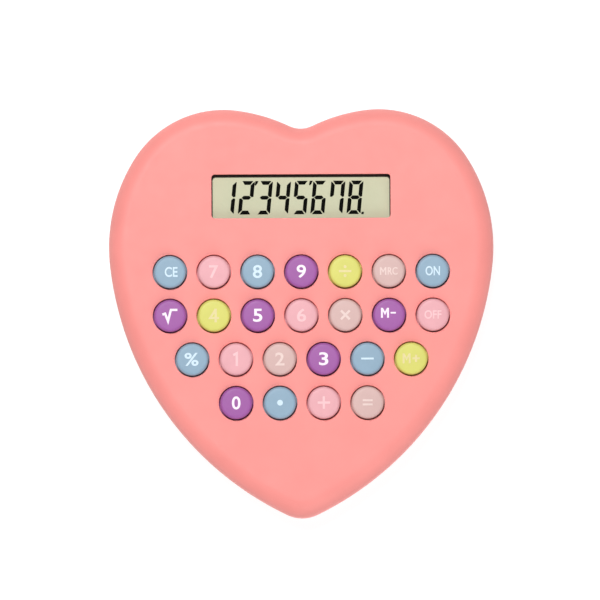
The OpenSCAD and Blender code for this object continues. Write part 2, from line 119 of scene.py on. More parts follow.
def inside(points, loop):
    """Whether a ray from each point along +X crosses the closed loop an odd number of times."""
    ends = np.roll(loop, -1, axis=0)
    y = points[:, 1:2]
    spans = (loop[:, 1] > y) != (ends[:, 1] > y)
    rise = np.where(ends[:, 1] == loop[:, 1], 1, ends[:, 1] - loop[:, 1])
    crossing = loop[:, 0] + (y - loop[:, 1]) * (ends[:, 0] - loop[:, 0]) / rise
    return ((spans & (points[:, 0:1] < crossing)).sum(1) % 2) == 1


def plate(outer, holes, z):
    """A flat sheet at height z inside one loop and outside the others.

    All loops are edges of a Delaunay triangulation, and the triangles whose middle is outside
    the first loop or inside a hole are dropped.
    """
    loops = [outer, *holes]
    points = np.concatenate(loops)
    starts = np.cumsum([0] + [len(p) for p in loops])
    rings = [np.arange(len(p)) + s for p, s in zip(loops, starts)]
    edges = np.concatenate([np.stack([r, np.roll(r, -1)], -1) for r in rings])
    flat, _, faces, *_ = delaunay_2d_cdt((points / MM).tolist(), edges.tolist(), [], 0, 1e-5)
    flat = np.array([tuple(p) for p in flat]) * MM
    faces = np.array(faces)
    middles = flat[faces].mean(1)
    keep = inside(middles, outer)
    for hole in holes:
        keep &= ~inside(middles, hole)
    return np.column_stack([flat, np.full(len(flat), z)]), faces[keep].tolist()


SOFT_TURN = math.radians(35)  # edges that turn by less than this are shaded smooth


def make_piece(name, surfaces, finish, body, replaced=()):
    """One welded mesh from several (points, faces) surfaces, riding on a body of the frame."""
    points, faces = [], []
    count = 0
    for surface_points, surface_faces in surfaces:
        faces += [[index + count for index in face] for face in surface_faces]
        points.append(surface_points)
        count += len(surface_points)
    mesh = bpy.data.meshes.new(name)
    mesh.from_pydata(np.concatenate(points), [], faces)
    work = bmesh.new()
    work.from_mesh(mesh)
    bmesh.ops.remove_doubles(work, verts=work.verts, dist=0.002 * MM)
    bmesh.ops.delete(work, geom=[edge for edge in work.edges if edge.is_wire], context="EDGES")
    bmesh.ops.recalc_face_normals(work, faces=work.faces)
    open_edges = sum(not edge.is_manifold for edge in work.edges)
    work.to_mesh(mesh)
    work.free()
    mesh.shade_smooth()
    mesh.set_sharp_from_angle(angle=SOFT_TURN)
    mesh.materials.append(finish)
    piece = bpy.data.objects.new(name, mesh)
    bpy.context.scene.collection.objects.link(piece)
    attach(piece, body)
    if replaced:
        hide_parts(*replaced)
    print(f"{name}: {len(mesh.polygons)} faces, {open_edges} open edges")
    return piece


# %% [markdown]
# ## Finishes
# A moulded plastic is never one flat colour: the pigment clouds a little, the polish of the mould
# varies, and the surface has a very fine grain that softens its highlights. The clouds drive the
# colour, a second pattern the roughness, and a third a bump of a few thousandths of a millimetre.
# All patterns read Object coordinates, which are metres in the calculator's own frame, so that
# their size is true and they stay put when a piece moves.

# %% Pattern helpers
def srgb(red, green, blue):
    """A colour given as the eye sees it, 0 to 255, as the linear values that shaders use."""
    c = np.array([red, green, blue]) / 255
    return tuple(np.where(c <= 0.04045, c / 12.92, ((c + 0.055) / 1.055) ** 2.4)) + (1.0,)


def tinted(colour, factor):
    """The colour with its three channels multiplied by a factor, at most 1."""
    return tuple(min(1.0, channel * factor) for channel in colour[:3]) + (1.0,)


class Finish:
    """A material with its shader, its links and the Object coordinates to hang patterns on."""

    def __init__(self, name):
        self.material = bpy.data.materials.new(name)
        self.material.use_nodes = True
        self.tree = self.material.node_tree
        self.shader = self.tree.nodes["Principled BSDF"]
        self.place = self.tree.nodes.new("ShaderNodeTexCoord").outputs["Object"]

    def stretched(self, x, y, z):
        """The coordinates scaled along each axis, for brushed or streaky patterns."""
        mapping = self.tree.nodes.new("ShaderNodeMapping")
        mapping.inputs["Scale"].default_value = (x, y, z)
        self.tree.links.new(self.place, mapping.inputs["Vector"])
        return mapping.outputs["Vector"]

    def clouds(self, size, detail=3.0, place=None):
        """Soft random clouds, about size metres across."""
        noise = self.tree.nodes.new("ShaderNodeTexNoise")
        noise.inputs["Scale"].default_value = 1 / size
        noise.inputs["Detail"].default_value = detail
        self.tree.links.new(place or self.place, noise.inputs["Vector"])
        return noise.outputs["Fac"]

    def cells(self, size):
        """Small rounded cells, about size metres across."""
        voronoi = self.tree.nodes.new("ShaderNodeTexVoronoi")
        voronoi.inputs["Scale"].default_value = 1 / size
        self.tree.links.new(self.place, voronoi.inputs["Vector"])
        return voronoi.outputs["Distance"]

    def colour(self, pattern, *stops):
        """The shader's colour from a pattern, through (position, colour) stops."""
        ramp = self.tree.nodes.new("ShaderNodeValToRGB")
        while len(ramp.color_ramp.elements) < len(stops):
            ramp.color_ramp.elements.new(0.5)
        for element, (position, shade) in zip(ramp.color_ramp.elements, stops):
            element.position = position
            element.color = shade
        self.tree.links.new(pattern, ramp.inputs["Fac"])
        self.tree.links.new(ramp.outputs["Color"], self.shader.inputs["Base Color"])

    def roughness(self, pattern, least, most):
        """The shader's roughness, from least to most as the pattern goes from 0.3 to 0.7."""
        remap = self.tree.nodes.new("ShaderNodeMapRange")
        limits = {"From Min": 0.3, "From Max": 0.7, "To Min": least, "To Max": most}
        for socket, value in limits.items():
            remap.inputs[socket].default_value = value
        self.tree.links.new(pattern, remap.inputs["Value"])
        self.tree.links.new(remap.outputs["Result"], self.shader.inputs["Roughness"])

    def bump(self, pattern, depth):
        """Raises the surface by up to depth metres where the pattern is bright."""
        bump = self.tree.nodes.new("ShaderNodeBump")
        bump.inputs["Distance"].default_value = depth
        self.tree.links.new(pattern, bump.inputs["Height"])
        self.tree.links.new(bump.outputs["Normal"], self.shader.inputs["Normal"])

    def set(self, **sockets):
        """Constants on the shader's sockets, with a _ for each space of a socket's name."""
        for name, value in sockets.items():
            self.shader.inputs[name.replace("_", " ")].default_value = value


def moulded(name, colour, rough, cloud=12 * MM, grain=0.35 * MM, depth=0.004 * MM, drift=0.03,
            shine=0.5):
    """Injection-moulded plastic: clouded pigment, uneven polish and a fine mould grain."""
    finish = Finish(name)
    pale, deep = tinted(colour, 1 + drift), tinted(colour, 1 - drift)
    finish.colour(finish.clouds(cloud), (0.3, deep), (0.7, pale))
    finish.roughness(finish.clouds(cloud / 3), rough - 0.04, rough + 0.04)
    finish.bump(finish.clouds(grain, 2.0), depth)
    finish.set(Specular_IOR_Level=shine)
    return finish.material


# %% The finishes of the shells and keys
CASE_PINK = moulded("case_pink", srgb(253, 152, 146), 0.52, shine=0.4)
KEY_SHADES = {
    "pink": srgb(237, 174, 181), "blue": srgb(147, 175, 196), "purple": srgb(165, 94, 168),
    "yellow": srgb(221, 218, 112), "beige": srgb(218, 183, 178),
}
PRINT_SHADES = {
    "pink": srgb(250, 201, 205), "blue": srgb(214, 236, 250), "purple": srgb(252, 240, 252),
    "yellow": srgb(234, 220, 158), "beige": srgb(238, 212, 206),
}
KEY_FINISH = {
    name: moulded("key_" + name, shade, 0.46, 5 * MM, 0.25 * MM, shine=0.35)
    for name, shade in KEY_SHADES.items()
}
PRINT_FINISH = {
    name: moulded("print_on_" + name, shade, 0.5, 1 * MM, 0.1 * MM, 0.002 * MM)
    for name, shade in PRINT_SHADES.items()
}
print("finishes:", len(KEY_FINISH) + len(PRINT_FINISH) + 1)

# %% [markdown]
# ## The heart
# The outline of both shells is a chain of tangent arcs: a small tip, a long nearly straight side,
# a flank, a lobe and a flatter crown, then a hollow arc in the cleft, and all of it mirrored. It
# could be traced with a curve, but arcs that share a normal where they meet give a smooth rim, and
# moving every point inwards along its own normal is then exact, which the rounded edge needs.

# %% The heart's stations
ARC_R = np.array([11, 98, 52, 32.8, 54]) * MM  # tip, side, flank, lobe, crown
ARC_TURN = np.radians([25.7, 58.2, 38.5, 65])  # how far each arc but the crown turns
CLEFT_R = 8.2 * MM
ARC_STEPS = [10, 44, 28, 36, 12]
CLEFT_STEPS = 36


def heart_stations():
    """Centre, direction, radius and bend of every station, counter-clockwise from the tip.

    Each centre lies from the one before along their shared normal, by the difference of radii.
    bend is 1 on a bulging arc and -1 in the cleft, where inwards is away from the centre.
    """
    starts = np.radians(-90) + np.concatenate([[0], np.cumsum(ARC_TURN)])
    normals = np.stack([np.cos(starts), np.sin(starts)], -1)
    moves = (ARC_R[:-1] - ARC_R[1:])[:, None] * normals[1:]
    centres = np.array([0, ARC_R[0]]) + np.concatenate([[[0, 0]], np.cumsum(moves, 0)])
    centres[:, 1] -= (centres[3, 1] + ARC_R[3]) / 2
    crown = centres[4]
    cleft_y = crown[1] + math.sqrt((ARC_R[4] + CLEFT_R) ** 2 - crown[0] ** 2)
    crown_end = math.atan2(cleft_y - crown[1], -crown[0])
    ends = np.append(starts[1:], crown_end)
    angle = np.concatenate([
        np.linspace(a, b, n, endpoint=False) for a, b, n in zip(starts, ends, ARC_STEPS)])
    which = np.repeat(np.arange(5), ARC_STEPS)
    right = np.column_stack([
        centres[which], np.cos(angle), np.sin(angle), ARC_R[which], np.ones(len(which))])
    hollow = np.linspace(crown_end + np.pi, 2 * np.pi - crown_end, CLEFT_STEPS + 1)
    cleft = np.column_stack([
        np.zeros(len(hollow)), np.full(len(hollow), cleft_y), np.cos(hollow), np.sin(hollow),
        np.full(len(hollow), CLEFT_R), -np.ones(len(hollow))])
    left = right[:0:-1] * [-1, 1, -1, 1, 1, 1]
    return np.concatenate([right, cleft, left])


STATIONS = heart_stations()


def heart_loop(inset):
    """The outline moved inwards: centre + (radius - bend * inset) * direction."""
    reach = STATIONS[:, 4] - STATIONS[:, 5] * inset
    return STATIONS[:, :2] + reach[:, None] * STATIONS[:, 2:4]


def carried(section):
    """A section of (inset, height) points carried round the heart, as an open-edged band."""
    loops = np.stack([heart_loop(inset) for inset, _ in section], 1)
    heights = np.array([z for _, z in section])[:, None]
    points = np.concatenate([loops, np.broadcast_to(heights, (*loops.shape[:2], 1))], -1)
    return points.reshape(-1, 3), grid_faces(len(STATIONS), len(section), True)


print("heart:", np.ptp(heart_loop(0), axis=0) / MM, "mm")
print("frame:", (high("front_shell") - low("front_shell")) / MM, "mm")

# %% [markdown]
# ## The front shell
# The real front shell is one moulding: a flat face with twenty-four key holes and a window, a
# generously rounded edge and a thin wall down to the seam. The rounded edge is a quarter circle
# carried round the heart. Each hole gets a small rounding too, because a moulded edge is never
# knife-sharp and the thin line of light on it is what makes a hole look real. Just outside every
# rounding a narrow flat band keeps the shading of the face perfectly level.

# %% Heights and places read from the frame
FACE_Z = high("front_shell")[2]
SEAM_Z = low("front_shell")[2]
UNDER_Z = high("lcd_frame")[2] + 0.05 * MM
BACK_Z = low("rear_shell")[2]
LENS_LOW, LENS_HIGH = low("display_lens"), high("display_lens")
LENS_Z = LENS_HIGH[2]
WALL = 2 * MM
FACE_ROUND = 5.4 * MM
EDGE = 0.14 * MM  # rounding of a moulded edge
BAND = 0.35 * MM  # level band beside a rounding
SEAM_CUT = 0.25 * MM

KEYS = sorted(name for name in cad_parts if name.startswith("key_"))
PLACE = {name: (low(name)[:2] + high(name)[:2]) / 2 for name in KEYS}
HOLE_R = 5.4 * MM
KEY_SEGMENTS = 72
WINDOW = (55.8 * MM, 13.7 * MM, 1 * MM)  # width, height, radius of its corners
WINDOW_AT = (LENS_LOW[:2] + LENS_HIGH[:2]) / 2
print("face at", FACE_Z / MM, "seam at", SEAM_Z / MM, "window at", WINDOW_AT / MM)


# %% The window's loops
def rounded_rectangle(middle, width, height, radius, steps=8):
    """Four quarter arcs, one in each corner, counter-clockwise."""
    x, y = width / 2 - radius, height / 2 - radius
    corners = [(x, y, 0), (-x, y, 90), (-x, -y, 180), (x, -y, 270)]
    return np.concatenate([
        arc((middle[0] + cx, middle[1] + cy), radius, a, a + 90, steps) for cx, cy, a in corners])


def window_loop(spread):
    """The window's outline, moved outwards by spread."""
    width, height, radius = WINDOW
    return rounded_rectangle(WINDOW_AT, width + 2 * spread, height + 2 * spread, radius + spread)


def stacked(loops, heights):
    """Loops of equal length at their heights, joined by quads."""
    n = len(loops[0])
    points = np.concatenate([
        np.column_stack([loop, np.full(n, z)]) for loop, z in zip(loops, heights)])
    points = points.reshape(len(loops), n, 3).transpose(1, 0, 2)
    return points.reshape(-1, 3), grid_faces(n, len(loops), True)


def circle_loop(place, radius, count=KEY_SEGMENTS):
    """A circle at the same directions that revolved() uses."""
    a = np.linspace(0, 2 * np.pi, count, endpoint=False)
    return np.stack([place[0] + radius * np.cos(a), place[1] + radius * np.sin(a)], -1)


# %% Make the front shell
def front_shell():
    """The rim, the face and its underside, the key holes and the window."""
    round_z = FACE_Z - FACE_ROUND
    outer = arc((FACE_ROUND, round_z), FACE_ROUND, 180, 90, 14)
    inner = arc((FACE_ROUND, round_z), FACE_ROUND - WALL, 90, 180, 8)
    section = np.concatenate([
        [[WALL, SEAM_Z], [SEAM_CUT, SEAM_Z], [0, SEAM_Z + SEAM_CUT]], outer,
        [[FACE_ROUND + BAND, FACE_Z]]])
    under = np.concatenate([[[FACE_ROUND + BAND, UNDER_Z]], inner, [[WALL, SEAM_Z]]])
    surfaces = [carried(section), carried(under)]

    hole = np.concatenate([
        [[HOLE_R, UNDER_Z]], arc((HOLE_R + EDGE, FACE_Z - EDGE), EDGE, 180, 90, 5),
        [[HOLE_R + EDGE + BAND, FACE_Z]]])
    surfaces += [revolved(PLACE[key], hole, KEY_SEGMENTS) for key in KEYS]

    lip = arc((EDGE, FACE_Z - EDGE), EDGE, 180, 90, 5)
    spreads = [0, *lip[:, 0], EDGE + BAND]
    heights = [LENS_Z, *lip[:, 1], FACE_Z]
    surfaces.append(stacked([window_loop(s) for s in spreads], heights))
    rebate = np.ptp([LENS_LOW[:2], LENS_HIGH[:2]], axis=0) + 0.3 * MM
    rebate_loop = rounded_rectangle(WINDOW_AT, *rebate, 0.2 * MM)
    surfaces.append(stacked([rebate_loop, rebate_loop], [LENS_Z, UNDER_Z]))
    surfaces.append(plate(rebate_loop, [window_loop(0)], LENS_Z))

    edge = heart_loop(FACE_ROUND + BAND)
    mouths = [circle_loop(PLACE[key], HOLE_R + EDGE + BAND) for key in KEYS]
    holes = [circle_loop(PLACE[key], HOLE_R) for key in KEYS]
    surfaces.append(plate(edge, [*mouths, window_loop(EDGE + BAND)], FACE_Z))
    surfaces.append(plate(edge, [*holes, rebate_loop], UNDER_Z))
    return surfaces


COLLAR = (6.35 * MM, 7 * MM, 2.2 * MM)  # inner and outer radius, height


def collars():
    """A ring round each key under the face, its top just inside the face so that they are one."""
    inner, outer, drop = COLLAR
    top = UNDER_Z + 0.3 * MM
    foot = UNDER_Z - drop
    ring = [[inner, top], [inner, foot], [outer, foot], [outer, top], [inner, top]]
    return [revolved(PLACE[key], ring, 48) for key in KEYS]


make_piece("face_moulding", front_shell() + collars(), CASE_PINK,
           "case", ["front_shell"])

# %% [markdown]
# ## The rear shell
# The back is a second moulding with the same outline. It carries four pockets for rubber feet, five
# deep counterbores for the screws, a round recess for the battery cover, and inside a tongue that
# keeps the two shells in line. The stepped holes are all turned shapes, so each is one profile of
# radius and height, from the flat back up to the floor inside. The places are read from the
# separate solids of the screws and feet.

# %% Find the separate solids of a node
GRID = 0.01 * MM  # corners that round to the same step are one place


def solid_middles(node):
    """The middle of each separate solid in a node, in plan.

    Corners that share a place are one point. Each point's label falls to the lowest label in its
    triangles, again and again, until every solid has one label.
    """
    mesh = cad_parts[node].data
    mesh.calc_loop_triangles()
    points = np.empty(len(mesh.vertices) * 3, np.float32)
    mesh.vertices.foreach_get("co", points)
    corners = np.empty(len(mesh.loop_triangles) * 3, np.int32)
    mesh.loop_triangles.foreach_get("vertices", corners)
    steps = np.round(points.reshape(-1, 3) / GRID).astype(int)
    places, same = np.unique(steps, axis=0, return_inverse=True)
    triangles = same.ravel()[corners].reshape(-1, 3)
    label = np.arange(len(places))
    settled = False
    while not settled:
        before = label.copy()
        np.minimum.at(label, triangles, label[triangles].min(1)[:, None])
        settled = (label == before).all()
    groups = [places[label == value, :2] * GRID for value in np.unique(label)]
    return [(group.min(0) + group.max(0)) / 2 for group in groups]


FEET = solid_middles("rubber_feet")
SCREWS = solid_middles("case_screws")
WELL = (low("battery_cover")[:2] + high("battery_cover")[:2]) / 2
print("feet:", len(FEET), "screws:", len(SCREWS), "well:", WELL / MM)

# %% Make the rear shell
BACK_ROUND = 3.2 * MM
FLOOR_Z = BACK_Z + 2 * MM
FIT = 0.15 * MM  # gap round a moving part
SLIP = 0.05 * MM  # gap between parts at rest
FOOT_R = 5 * MM
POCKET = 0.5 * MM
SCREW_HEAD_Z = 4.4 * MM
HEAD_HOLE_R = 2.5 * MM
SHANK_HOLE_R = 1.3 * MM
BOSS_R = 3.5 * MM
COVER_R, COVER_T = 9 * MM, 1.3 * MM
HUB = (5.95 * MM, 7.6 * MM, 4.35 * MM)  # inner and outer radius, top
LUG = (9.2 * MM, 3.55 * MM, 4.35 * MM, 30)  # radius, lower and upper height, angle in degrees
LUG_ROOM = (3.5 * MM, 4.4 * MM)  # its lower and upper height
TURRET = (11 * MM, 5.4 * MM)  # radius, top
WELL_WALL = (6.2 * MM, 7.4 * MM, 9.2 * MM)  # inner and outer radius, top


def edge_round(radius, z):
    """The rounded mouth of a hole of that radius in the back: from the flat back into it."""
    curve = arc((radius + EDGE, z + EDGE), EDGE, 270, 180, 5)
    return np.concatenate([[[radius + EDGE + BAND, z]], curve])


def well_profile():
    """The cover's recess, the ledge, the room for the lugs, the cell's wall and the turret."""
    recess_r, ledge_z = COVER_R + FIT, BACK_Z + COVER_T + SLIP
    ledge_r, room_r = HUB[1] + FIT, LUG[0] + FIT
    ledge_top, room_top = LUG_ROOM
    well_r, wall_r, well_top = WELL_WALL
    turret_r, turret_top = TURRET
    return np.concatenate([edge_round(recess_r, BACK_Z), [
        [recess_r, ledge_z], [ledge_r, ledge_z], [ledge_r, ledge_top], [room_r, ledge_top],
        [room_r, room_top], [well_r, room_top], [well_r, well_top], [wall_r, well_top],
        [wall_r, turret_top], [turret_r, turret_top], [turret_r, FLOOR_Z]]])


def rear_shell():
    """The rim with its tongue, the back and the floor, and the stepped holes between them."""
    back_arc = arc((BACK_ROUND, BACK_Z + BACK_ROUND), BACK_ROUND, 270, 180, 10)
    floor_arc = arc((BACK_ROUND, BACK_Z + BACK_ROUND), BACK_ROUND - WALL, 180, 270, 5)
    tongue = WALL + FIT
    tongue_in = tongue + 0.8 * MM
    tongue_top = SEAM_Z + 1.4 * MM
    section = np.concatenate([
        [[BACK_ROUND + BAND, BACK_Z]], back_arc,
        [[0, SEAM_Z - SEAM_CUT], [SEAM_CUT, SEAM_Z], [tongue, SEAM_Z], [tongue, tongue_top],
         [tongue_in, tongue_top], [tongue_in, SEAM_Z - 1 * MM], [WALL, SEAM_Z - 2 * MM]],
        floor_arc, [[BACK_ROUND + BAND, FLOOR_Z]]])
    pocket_r = FOOT_R + SLIP
    pocket = np.concatenate([
        edge_round(pocket_r, BACK_Z), [[pocket_r, BACK_Z + POCKET], [0, BACK_Z + POCKET]]])
    boss_top = SEAM_Z - SLIP
    shaft = np.concatenate([edge_round(HEAD_HOLE_R, BACK_Z), [
        [HEAD_HOLE_R, SCREW_HEAD_Z], [SHANK_HOLE_R, SCREW_HEAD_Z], [SHANK_HOLE_R, boss_top],
        [BOSS_R, boss_top], [BOSS_R, FLOOR_Z]]])
    surfaces = [carried(section), revolved(WELL, well_profile(), KEY_SEGMENTS)]
    surfaces += [revolved(place, pocket, KEY_SEGMENTS) for place in FEET]
    surfaces += [revolved(place, shaft, KEY_SEGMENTS) for place in SCREWS]
    mouths = ([circle_loop(place, pocket_r + EDGE + BAND) for place in FEET]
              + [circle_loop(place, HEAD_HOLE_R + EDGE + BAND) for place in SCREWS]
              + [circle_loop(WELL, COVER_R + FIT + EDGE + BAND)])
    feet_of_bosses = [circle_loop(place, BOSS_R) for place in SCREWS]
    edge = heart_loop(BACK_ROUND + BAND)
    surfaces.append(plate(edge, mouths, BACK_Z))
    surfaces.append(plate(edge, [*feet_of_bosses, circle_loop(WELL, TURRET[0])], FLOOR_Z))
    return surfaces


make_piece("back_moulding", rear_shell(), CASE_PINK, "case", ["rear_shell"])

# %% [markdown]
# ## The battery cover
# A round cover that a coin turns by an eighth of a turn closes the cell's well. Three lugs behind
# its hub lock under a ledge. The slot is a round-ended outline pressed into the face with a
# rounded edge. A raised pip on the cover lines up with one of two pips beside it, which show
# locked and open.

# %% Make the battery cover and the pips
SLOT = (12 * MM, 1.6 * MM, 0.8 * MM)  # length, width, depth


def slot_loop(spread):
    """The coin slot's outline, moved outwards by spread: a rectangle with nearly round ends."""
    radius = SLOT[1] / 2 - 0.1 * MM
    return rounded_rectangle(WELL, SLOT[0] + 2 * spread, SLOT[1] + 2 * spread, radius + spread)


def battery_cover():
    """The face with its slot, the rim, the hollow hub and the three lugs."""
    face_r, inner_z = COVER_R - EDGE, BACK_Z + COVER_T
    hollow_r, hub_r, hub_top = HUB
    rim = np.concatenate([
        [[face_r - BAND, BACK_Z]], arc((face_r, BACK_Z + EDGE), EDGE, 270, 360, 5),
        [[COVER_R, inner_z], [hub_r, inner_z], [hub_r, hub_top], [hollow_r, hub_top],
         [hollow_r, inner_z], [0, inner_z]]])
    lip = arc((EDGE, BACK_Z + EDGE), EDGE, 270, 180, 5)
    spreads = [EDGE + BAND, *lip[:, 0], 0]
    heights = [BACK_Z, *lip[:, 1], BACK_Z + SLOT[2]]
    surfaces = [revolved(WELL, rim, 96), stacked([slot_loop(s) for s in spreads], heights),
                plate(slot_loop(0), [], BACK_Z + SLOT[2]),
                plate(circle_loop(WELL, face_r - BAND, 96), [slot_loop(EDGE + BAND)], BACK_Z)]
    lug_r, lug_low, lug_high, lug_angle = LUG
    for turn in (0, 120, 240):
        start, end = turn - lug_angle / 2, turn + lug_angle / 2
        outer = arc(WELL, lug_r, start, end, 10)
        inner = arc(WELL, hub_r - 0.3 * MM, end, start, 10)
        surfaces.append(prism(np.concatenate([outer, inner]), lug_low, lug_high))
    return surfaces


def pip(distance, angle, radius=0.45 * MM, height=0.22 * MM):
    """A low dome that stands out of the back at a distance and direction from the well."""
    turn = math.radians(angle)
    place = WELL + distance * np.array([math.cos(turn), math.sin(turn)])
    t = np.radians(np.linspace(0, 90, 7))
    dome = np.stack([radius * np.cos(t), BACK_Z - height * np.sin(t)], -1)
    root = BACK_Z + 0.1 * MM
    return revolved(place, np.concatenate([[[0, root], [radius, root]], dome]), 24)


LOCKED = -90  # direction of the cover's pip when it is locked, in degrees
FREE = LOCKED + 45
ON_COVER, BESIDE_COVER = 7.4 * MM, 10.6 * MM  # how far the pips are from the cover's middle
make_piece("coin_cover", battery_cover() + [pip(ON_COVER, LOCKED)], CASE_PINK,
           "battery_cover", ["battery_cover"])
make_piece("locking_pips", [pip(BESIDE_COVER, LOCKED), pip(BESIDE_COVER, FREE)], CASE_PINK,
           "case")

# %% [markdown]
# ## Rubber feet
# Each foot is a moulded disc of soft rubber glued into its pocket, with a rounded rim and a shallow
# dish, so that it grips by its edge. A turned profile gives that shape. Rubber is dark, dull and a
# little dusty, so its finish has a high roughness with pale speckles.

# %% Make the feet
FOOT_RUBBER = Finish("foot_rubber")
FOOT_RUBBER.colour(FOOT_RUBBER.clouds(0.8 * MM),
                   (0.35, srgb(88, 84, 84)), (0.75, srgb(112, 108, 107)))
FOOT_RUBBER.roughness(FOOT_RUBBER.clouds(2 * MM), 0.7, 0.85)
FOOT_RUBBER.bump(FOOT_RUBBER.clouds(0.15 * MM), 0.02 * MM)

FOOT_TOP = BACK_Z + POCKET
TREAD_R, TREAD_ROUND = 4.7 * MM, 0.35 * MM
dish = np.array([[0, 0.16], [3.7, 0.16], [3.9, 0.1], [4.05, 0]]) * MM
rim = arc((TREAD_R - TREAD_ROUND, TREAD_ROUND), TREAD_ROUND, 270, 360, 5)
step = np.array([[4.72, 0.6], [5, 0.75]]) * MM
foot = np.concatenate([dish, rim, step, [[FOOT_R, FOOT_TOP], [0, FOOT_TOP]]])
make_piece("feet", [revolved(place, foot, 56) for place in FEET], FOOT_RUBBER.material,
           "case", ["rubber_feet"])

# %% [markdown]
# ## Keys
# A key is a hollow cap with a flange that stops it under the face, and a post that presses the
# rubber dome. The cap is a turned profile: a nearly flat top that rises a twentieth of a millimetre
# to its middle, a soft rounding, a straight skirt, the flange, and the hollow with its post. The
# rounding is what catches the light round every key, so it gets eight steps.

# %% Make the keys
KEY_R, KEY_ROUND = 5 * MM, 0.9 * MM
CAP_T = 1.3 * MM  # thickness of a cap's top
CROWN = 0.05 * MM  # how far a cap's top rises to its middle
FLANGE_R, FLANGE_T = 6.2 * MM, 0.9 * MM
CHAMFER = 0.1 * MM
HOLLOW_R = 3.9 * MM
POST_R = 1.6 * MM
KEY_COLOUR = {
    "ce": "blue", "7": "pink", "8": "blue", "9": "purple", "divide": "yellow", "mrc": "beige",
    "on": "blue", "sqrt": "purple", "4": "yellow", "5": "purple", "6": "pink",
    "multiply": "beige", "m_minus": "purple", "off": "pink", "percent": "blue", "1": "pink",
    "2": "beige", "3": "purple", "minus": "blue", "m_plus": "yellow", "0": "purple",
    "point": "blue", "plus": "pink", "equals": "beige",
}
INK = 0.02 * MM  # thickness of the print on top of a cap
CAP_TOP = high("key_5")[2] - INK
KEY_FOOT = low("key_5")[2]


def key_cap(place):
    """One cap, turned from the middle of its top out, down and back to its post's middle.

    The top is a parabola over its flat radius f: z = CAP_TOP - CROWN * (r / f)^2.
    """
    flat_r, flange_z, roof_z = KEY_R - KEY_ROUND, KEY_FOOT + FLANGE_T, CAP_TOP - CAP_T
    r = np.linspace(0, flat_r, 7)[:-1]
    top = np.stack([r, CAP_TOP - CROWN * (r / flat_r) ** 2], -1)
    rounding = arc((flat_r, CAP_TOP - CROWN - KEY_ROUND), KEY_ROUND, 90, 0, 8)
    below = [
        [KEY_R, flange_z], [FLANGE_R - CHAMFER, flange_z], [FLANGE_R, flange_z - CHAMFER],
        [FLANGE_R, KEY_FOOT], [HOLLOW_R, KEY_FOOT], [HOLLOW_R, roof_z], [POST_R, roof_z],
        [POST_R, KEY_FOOT], [0, KEY_FOOT]]
    return revolved(place, np.concatenate([top, rounding, below]), KEY_SEGMENTS)


for name, colour in KEY_COLOUR.items():
    node = "key_" + name
    make_piece("cap_" + name, [key_cap(PLACE[node])], KEY_FINISH[colour],
               node, [node])

# %% [markdown]
# ## What is printed on the keys
# The figures are pad-printed in pale ink: a layer two hundredths of a millimetre thick. Letters
# and digits start as a text object in Blender's own typeface, thickened a little, and become a mesh
# before they are scaled and placed. The signs are flat bands with mitred corners instead, since
# a typeface's signs are too thin for a key. Where two bands cross, each lies a hair lower than
# the one before, so that their tops never share a plane.

# %% Strokes and lettering
STROKE = 0.72


def dot(x, y, radius):
    """A full disc."""
    return arc((x, y), radius, 0, 360, 24)[:-1]


def band(points, width=STROKE):
    """A line through points as a flat band with mitred corners and square ends.

    Each side is the line moved by half the width along its corner's mitre, which is the sum of
    the two neighbouring normals divided by one plus their dot product.
    """
    points = np.array(points, float)
    runs = np.diff(points, axis=0)
    normals = np.stack([-runs[:, 1], runs[:, 0]], -1) / np.linalg.norm(runs, axis=1)[:, None]
    before, after = np.concatenate([normals[:1], normals]), np.concatenate([normals, normals[-1:]])
    mitre = (before + after) / (1 + (before * after).sum(1))[:, None] * width / 2
    return np.concatenate([points + mitre, (points - mitre)[::-1]])


def cross(reach, turn):
    """A plus sign as one outline of twelve corners, turned by an angle in degrees."""
    w = STROKE / 2
    quarter = np.array([[w, w], [w, reach], [-w, reach]])
    angles = np.radians(turn + np.array([0, 90, 180, 270]))
    c, s = np.cos(angles), np.sin(angles)
    turns = np.stack([c, -s, s, c], -1).reshape(4, 2, 2)
    return np.concatenate([quarter @ t.T for t in turns])


def letter_m(x, width, height, stem=0.6):
    """A capital M as one outline of twelve corners, its left edge at x."""
    w, h = width, height / 2
    return np.array([
        (0, -h), (stem, -h), (stem, 0.35 * h), (w / 2, -0.5 * h), (w - stem, 0.35 * h),
        (w - stem, -h), (w, -h), (w, h), (w - stem, h), (w / 2, 0.2 * h), (stem, h), (0, h),
    ]) + [x, 0]


def signs():
    """The outlines of each sign, in millimetres about the key's middle."""
    reach = 1.95
    return {
        "minus": [band([(-reach, 0), (reach, 0)], 0.58)],
        "plus": [cross(reach, 0)],
        "multiply": [cross(reach, 45)],
        "divide": [band([(-reach, 0), (reach, 0)]), dot(0, 1.4, 0.48), dot(0, -1.4, 0.48)],
        "equals": [band([(-1.55, y), (1.55, y)], 0.62) for y in (0.65, -0.65)],
        "point": [dot(0, 0, 0.9)],
        "sqrt": [band([(-2.4, 0.35), (-1.55, 0.65), (-0.65, -1.7), (0.25, 1.8), (2.3, 1.8)])],
        "m_minus": [letter_m(-2.55, 2.5, 3.1) + [0, 0.6], band([(0.45, 0.6), (2.1, 0.6)], 0.5)],
        "m_plus": [letter_m(-2.7, 2.5, 3.1), cross(1.25, 0) * 0.9 + [1.5, 0]],
        "mrc": [letter_m(-2.8, 2.0, 2.4, 0.42)],
        "1": [band([(-0.85, 1.25), (0.25, 1.85), (0.25, -2.15)], 0.75)],
        "4": [band([(0.62, 2.0), (-1.2, -0.8), (1.6, -0.8)], 0.68),
              band([(0.55, 2.15), (0.55, -2.15)], 0.75)],
    }


